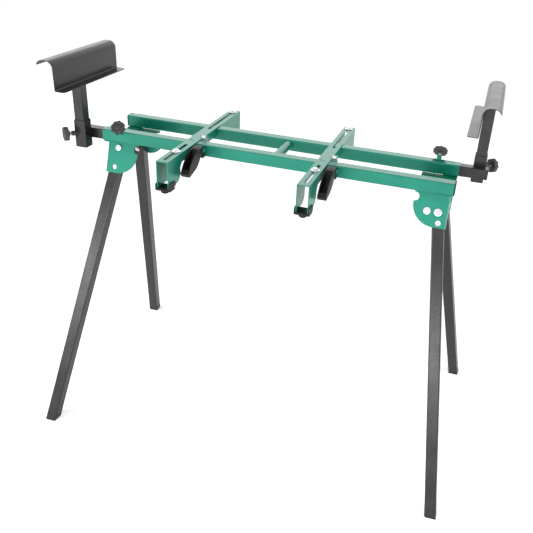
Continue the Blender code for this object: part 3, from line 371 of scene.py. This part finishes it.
def dress_nodes():
    """Gives every node its surface and a fine rounding of its edges."""
    for name, node in cad_nodes.items():
        kind = kind_of(name)
        node.data.materials.clear()
        node.data.materials.append(SURFACES[kind])
        rounding = node.modifiers.new("edge", "BEVEL")
        rounding.width = EDGE_WIDTH[kind]
        rounding.segments = EDGE_SEGMENTS
        rounding.limit_method = "ANGLE"
        rounding.angle_limit = EDGE_ANGLE
        rounding.use_clamp_overlap = True


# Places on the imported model

def corners(node):
    """Lowest and highest corner of a node."""
    return [Vector(corner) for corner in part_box(node)]


def joint_line(name):
    """Point and direction of a joint."""
    joint = next(j for j in frame["record"]["behaviour"]["joints"] if j["name"] == name)
    return Vector(joint["pos_m"]), Vector(joint["axis"]).normalized()


def span(node, place, direction):
    """Lowest and highest reach of a node along a line."""
    reach = [(vertex.co - place).dot(direction) for vertex in cad_nodes[node].data.vertices]
    return min(reach), max(reach)


def aim(place, direction):
    """Matrix that takes Z to a direction at a place."""
    turn = Vector(direction).to_track_quat("Z", "Y").to_matrix().to_4x4()
    return Matrix.Translation(place) @ turn


# Turned forms, about Z

def circle(radius, sides):
    """Outline of a round piece or, with six sides, of a hexagon."""
    turns = [2 * math.pi * i / sides for i in range(sides)]
    return [(radius * math.cos(turn), radius * math.sin(turn)) for turn in turns]


def lobed(radius, sides):
    """Knob outline whose lobes fade towards the middle."""
    points = []
    depth = KNOB_LOBE_DEPTH * (radius / KNOB_RADIUS) ** KNOB_LOBE_FADE
    for i in range(sides):
        turn = 2 * math.pi * i / sides
        wave = 0.5 - 0.5 * math.cos(KNOB_LOBES * turn)
        reach = radius - depth * wave ** KNOB_LOBE_WIDTH
        points.append((reach * math.cos(turn), reach * math.sin(turn)))
    return points


def turned(form, profile, sides=ROUND_SIDES, outline=circle):
    """Rings at each (radius, height) of a profile, closed at both ends."""
    loops = [[form.verts.new((x, y, height)) for x, y in outline(radius, sides)]
             for radius, height in profile]
    form.faces.new(loops[0])
    form.faces.new(loops[-1])
    for low, high in zip(loops, loops[1:]):
        for i in range(sides):
            j = (i + 1) % sides
            form.faces.new((low[i], low[j], high[j], high[i]))


def rings(radius, level, table):
    """Profile from a table of shares of a radius and heights from a level."""
    return [(radius * share, level + rise) for share, rise in table]


def rounded(radius, low, high, rounding):
    """Profile of a disc with both edges rounded."""
    turns = [math.radians(90 * i / ROUNDING_STEPS) for i in range(ROUNDING_STEPS + 1)]
    core = radius - rounding
    below = [(core + rounding * math.sin(turn), low + rounding - rounding * math.cos(turn))
             for turn in turns]
    above = [(core + rounding * math.cos(turn), high - rounding + rounding * math.sin(turn))
             for turn in turns]
    return below + above


def thread(radius, low, high):
    """Profile of a threaded shank."""
    count = int((high - low) / THREAD_PITCH)
    profile = []
    for i in range(count):
        start = low + i * THREAD_PITCH
        profile += [(radius - THREAD_DEPTH, start), (radius, start + THREAD_PITCH / 2)]
    return profile + [(radius - THREAD_DEPTH, high)]


def washer(radius, low):
    """Profile of a washer."""
    return rounded(radius, low, low + WASHER_THICKNESS, WASHER_THICKNESS * WASHER_ROUNDING_SHARE)


def add_object(name, data):
    """New object in the scene."""
    made = bpy.data.objects.new(name, data)
    bpy.context.scene.collection.objects.link(made)
    return made


# Pieces

def add_piece(name, form, kind, body, matrix, sharp):
    """A new piece of the stand that moves with a body."""
    bmesh.ops.recalc_face_normals(form, faces=form.faces[:])
    mesh = bpy.data.meshes.new(name)
    form.to_mesh(mesh)
    form.free()
    mesh.transform(matrix)
    mesh.shade_smooth()
    mesh.set_sharp_from_angle(angle=sharp)
    mesh.materials.append(SURFACES[kind])
    made = add_object(name, mesh)
    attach(made, body)
    return made


def add_knob(carrier, side):
    """Moulded knob with its dished face and hub."""
    node = f"{carrier}_{side}_knob"
    place, along = joint_line(f"{carrier}_knob_turn_{side}")
    low, high = span(node, place, along)
    seat = low + HUB_HEIGHT
    form = bmesh.new()
    turned(form, rounded(KNOB_RADIUS, seat, high, KNOB_ROUNDING)
           + rings(KNOB_RADIUS, high, KNOB_FACE), KNOB_SIDES, lobed)
    turned(form, rings(HUB_RADIUS, low, HUB_FOOT) + [(HUB_RADIUS, seat + KNOB_ROUNDING)])
    knob = add_piece(node + "_moulding", form, "knob", node, aim(place, along), KNOB_SHARP)
    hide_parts(node)


def add_stud(carrier, side):
    """Threaded stud of a knob."""
    node = f"{carrier}_{side}_stud"
    place, along = joint_line(f"{carrier}_knob_turn_{side}")
    low, high = span(node, place, along)
    form = bmesh.new()
    turned(form, [(STUD_RADIUS * STUD_TIP_SHARE, low),
                  (STUD_RADIUS - THREAD_DEPTH, low + STUD_TIP_HEIGHT)]
           + thread(STUD_RADIUS, low + STUD_THREAD_START, high), THREAD_SIDES)
    stud = add_piece(f"{carrier}_{side}_thread", form, "zinc", node, aim(place, along),
                     THREAD_SHARP)
    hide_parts(node)


def add_saw_bolt(side, end):
    """Hexagon head on a wide washer, threaded shank, washer and nut."""
    node = f"saw_bolt_{side}_{end}"
    low, high = corners(node)
    centre = (low + high) / 2
    seat = high.z - SAW_HEAD_HEIGHT - WASHER_THICKNESS
    foot = low.z - seat
    top = WASHER_THICKNESS + SAW_HEAD_HEIGHT
    nut_top = foot + SAW_NUT_RISE + SAW_NUT_HEIGHT
    form = bmesh.new()
    turned(form, washer(WASHER_RADIUS, 0), HEAD_SIDES)
    turned(form, [(SAW_HEAD_RADIUS, WASHER_THICKNESS)]
           + rings(SAW_HEAD_RADIUS, top, SAW_HEAD_FACE), HEX_SIDES)
    turned(form, thread(SAW_BOLT_RADIUS, foot, 0), THREAD_SIDES)
    turned(form, washer(WASHER_RADIUS * NUT_WASHER_SHARE, nut_top))
    turned(form, rings(SAW_NUT_RADIUS, nut_top - SAW_NUT_HEIGHT, SAW_NUT_FOOT)
           + rings(SAW_NUT_RADIUS, nut_top, SAW_NUT_TOP), HEX_SIDES)
    place = Matrix.Translation((centre.x, centre.y, seat))
    bolt = add_piece(node + "_fine", form, "zinc", node, place, HEX_SHARP)
    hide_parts(node)


def add_head(name, place, along, radius, height, kind, body, ring=True):
    """Low disc head, with or without a turned ring in its face."""
    form = bmesh.new()
    profile = rounded(radius, 0, height, height * HEAD_ROUNDING_SHARE)
    if ring:
        profile += rings(radius, height, HEAD_RING)
    turned(form, profile, HEAD_SIDES)
    add_piece(name, form, kind, body, aim(place, along), HEAD_SHARP)


def add_leg_heads():
    """Pivot bolt heads, and the discs over the collars of the two low legs."""
    for end in ENDS:
        for side in SIDES:
            tag = end[0] + side[0]
            place, outward = joint_line(f"leg_fold_{end}_{side}")
            if outward.y * place.y < 0:
                outward = -outward
            bolt_face = span("leg_bolt_" + tag, place, outward)[1]
            add_head("pivot_head_" + tag,
                     place + (bolt_face - LEG_HEAD_HEIGHT + LEG_HEAD_LIFT) * outward, outward,
                     LEG_HEAD_RADIUS[tag], LEG_HEAD_HEIGHT + LEG_HEAD_CROWN, "zinc", "frame")
            if tag in LOW_LEGS:
                inward = Vector((-math.copysign(COLLAR_REACH, place.x), 0, 0))
                channel_face = span("leg_channel_" + tag, place, outward)[1]
                add_head("collar_disc_" + tag, place + inward + channel_face * outward, outward,
                         COLLAR_DISC_RADIUS, COLLAR_DISC_HEIGHT, "zinc", "frame")


def add_pad_bolts():
    """Both ends of the cross bolt through each pad's cheeks."""
    for side in SIDES:
        for end, way in zip(ENDS, (1, -1)):
            low, high = corners(f"bracket_pad_{side}_{end}")
            y = (low.y if way > 0 else high.y) + way * PAD_BOLT_SETBACK
            for name, x, along in (("out", low.x, -1), ("in", high.x, 1)):
                add_head(f"pad_bolt_{side}_{end}_{name}", Vector((x, y, high.z - PAD_BOLT_DROP)),
                         Vector((along, 0, 0)), PAD_BOLT_RADIUS, PAD_BOLT_HEIGHT, "zinc",
                         "bracket_" + side, ring=False)


def add_rivet(side):
    """Rivet in the round hole of a bracket's plate."""
    top = corners("saw_bracket_" + side)[1].z
    bolt_low, bolt_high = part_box(f"saw_bolt_{side}_front")
    x = (bolt_low[0] + bolt_high[0]) / 2 + RIVET_OFFSET
    add_head("plate_rivet_" + side, Vector((x, RIVET_Y, top - RIVET_SINK)), Vector((0, 0, 1)),
             RIVET_RADIUS, RIVET_HEIGHT, "green", "bracket_" + side, ring=False)


def add_bead(name, start, end, radius, body):
    """Painted weld bead with its ripples, thinner at its ends."""
    start, end = Vector(start), Vector(end)
    length = (end - start).length
    steps = max(int(length / BEAD_STEP), BEAD_LEAST_STEPS)
    profile = []
    for i in range(steps + 1):
        at = length * i / steps
        close = min(at, length - at)
        swell = 1 + BEAD_RIPPLE_SHARE * math.sin(2 * math.pi * at / BEAD_RIPPLE_PITCH)
        fullness = min(BEAD_END_SHARE + close / radius * BEAD_END_SLOPE, 1.0)
        profile.append((radius * swell * fullness, at))
    form = bmesh.new()
    turned(form, profile, BEAD_SIDES)
    add_piece(name, form, "black", body, aim(start, end - start), BEAD_SHARP)


def add_arm_beads(side):
    """Beads between the post socket and its bar, and between the post and its support plate."""
    way = -1 if side == "left" else 1
    bar_low, bar_high = corners("arm_bar_" + side)
    y = bar_low.y if way < 0 else bar_high.y
    bar_end = bar_low.x if way < 0 else bar_high.x
    far = bar_end - way * (BAR_TAIL + BEAD_END_GAP)
    near = bar_end - way * (BAR_TAIL + SOCKET_SIZE - BEAD_END_GAP)
    for name, face in (("top", bar_high.z), ("base", bar_low.z)):
        z = face - SOCKET_BEAD_SINK
        add_bead(f"socket_bead_{name}_{side}", (near, y, z), (far, y, z), SOCKET_BEAD_RADIUS,
                 "arm_" + side)
    post_low, post_high = corners("post_" + side)
    foot = corners("support_plate_" + side)[0].z + PLATE_BEAD_RISE
    top = post_high.z - BEAD_END_GAP
    x = post_high.x if way < 0 else post_low.x
    for name, y in (("front", post_low.y), ("rear", post_high.y)):
        add_bead(f"plate_bead_{name}_{side}", (x, y, foot), (x, y, top), PLATE_BEAD_RADIUS,
                 "post_" + side)


# Stage, light and camera

def make_floor():
    """White floor that keeps the shadows."""
    mesh = bpy.data.meshes.new("floor")
    half = FLOOR_SIDE / 2
    mesh.from_pydata([(-half, -half, 0), (half, -half, 0), (half, half, 0), (-half, half, 0)], [],
                     [(0, 1, 2, 3)])
    floor = add_object("floor", mesh)
    made = bpy.data.materials.new("floor_white")
    made.use_nodes = True
    tree = made.node_tree
    tree.nodes.clear()
    level = level_by_ray(tree, FLOOR_BOUNCE, FLOOR_GLOSS, FLOOR_WHITE)
    diffuse = add_node(tree, "ShaderNodeBsdfDiffuse", {"Color": level})
    add_node(tree, "ShaderNodeOutputMaterial", {"Surface": diffuse.outputs["BSDF"]})
    mesh.materials.append(made)


def make_world():
    """White for the camera and for reflections; walls under a darker ceiling for the rest."""
    world = bpy.data.worlds.new("studio")
    world.use_nodes = True
    bpy.context.scene.world = world
    tree = world.node_tree
    direction = tree.nodes.new("ShaderNodeTexCoord").outputs["Generated"]
    parts = add_node(tree, "ShaderNodeSeparateXYZ", {"Vector": direction})
    fill = ramp(tree, parts.outputs["Z"], WALL_FILL, CEILING_FILL, WALL_RISE)
    set_inputs(tree, tree.nodes["Background"], {
        "Color": WHITE, "Strength": level_by_ray(tree, fill, WORLD_WHITE, WORLD_WHITE)})


def make_soft_box(name, place, size, power):
    """Area lamp that looks at the stand's middle."""
    data = bpy.data.lights.new(name, "AREA")
    data.shape = "RECTANGLE"
    data.size, data.size_y = size
    data.energy = power
    lamp = add_object(name, data)
    lamp.location = place
    view = Vector(LAMP_TARGET) - Vector(place)
    lamp.rotation_euler = view.to_track_quat("-Z", "Y").to_euler()
    lamp.visible_camera = False


def make_camera():
    """Camera at the photograph's viewpoint."""
    right = Vector((math.cos(CAMERA_YAW), math.sin(CAMERA_YAW), 0))
    forward = Vector((-math.sin(CAMERA_YAW) * math.cos(CAMERA_PITCH),
                      math.cos(CAMERA_YAW) * math.cos(CAMERA_PITCH), -math.sin(CAMERA_PITCH)))
    down = forward.cross(right)
    across = math.cos(CAMERA_ROLL) * right + math.sin(CAMERA_ROLL) * down
    below = -math.sin(CAMERA_ROLL) * right + math.cos(CAMERA_ROLL) * down
    data = bpy.data.cameras.new("camera")
    data.sensor_width = SENSOR_MM
    data.sensor_fit = "HORIZONTAL"
    data.lens = FOCAL_PIXELS * SENSOR_MM / PICTURE_SIDE
    half = PICTURE_SIDE / 2
    data.shift_x = (half - CENTRE_PIXEL[0]) / PICTURE_SIDE
    data.shift_y = (CENTRE_PIXEL[1] - half) / PICTURE_SIDE
    camera = add_object("camera", data)
    turn = Matrix((across, -below, -forward)).transposed().to_4x4()
    camera.matrix_world = Matrix.Translation(CAMERA_PLACE) @ turn
    bpy.context.scene.camera = camera


# The whole scene

dress_nodes()
for knob_carrier in ("rail", "socket"):
    for knob_side in SIDES:
        add_knob(knob_carrier, knob_side)
        add_stud(knob_carrier, knob_side)
for bracket_side in SIDES:
    for bolt_end in ENDS:
        add_saw_bolt(bracket_side, bolt_end)
    add_rivet(bracket_side)
    add_arm_beads(bracket_side)
add_leg_heads()
add_pad_bolts()

make_floor()
make_world()
for box_name, box in SOFT_BOXES.items():
    make_soft_box(box_name, **box)
make_camera()
bpy.context.scene.view_settings.view_transform = "Standard"
